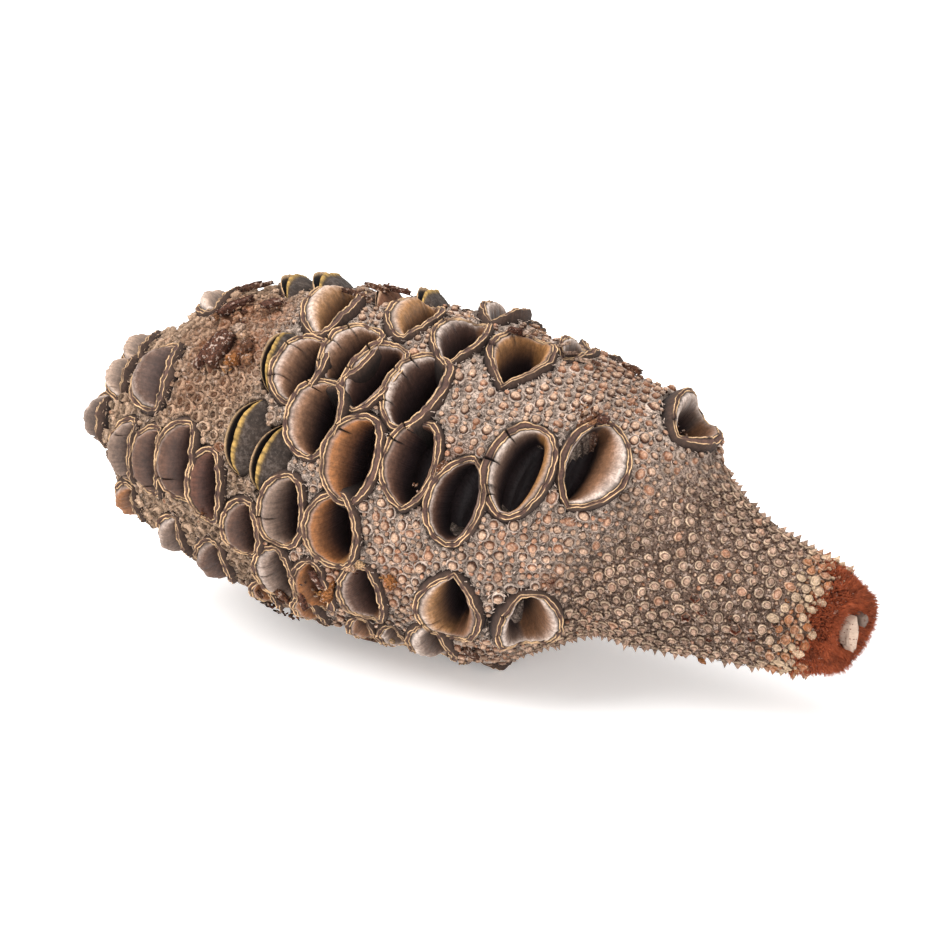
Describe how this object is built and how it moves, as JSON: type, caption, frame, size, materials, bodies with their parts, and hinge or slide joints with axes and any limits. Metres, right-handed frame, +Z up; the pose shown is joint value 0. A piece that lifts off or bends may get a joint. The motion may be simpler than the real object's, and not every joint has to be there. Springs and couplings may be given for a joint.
{
  "type": "banksia cone",
  "caption": "Dry woody banksia cone lying on its side, its fat belly covered in gaping seed follicles and narrowing to a short bent stem.",
  "frame": {"origin": "centre of the bounding box at its bottom, on the surface that the cone lies on", "axes": "+X along the cone from its blunt tip to its broken stem, +Y away from the near side, +Z up"},
  "size_m": [0.1941, 0.0833, 0.0855],
  "materials": {
    "bract_felt": "matte, dry grey-brown felted bract tips",
    "follicle_wood": "weathered grey-brown lips over a satin amber-brown lining",
    "rust_velvet": "short rust-brown hair",
    "broken_wood": "raw pale broken wood"
  },
  "bodies": {
    "root": {"banksia_cone": "bract_felt"}
  },
  "joints": []
}
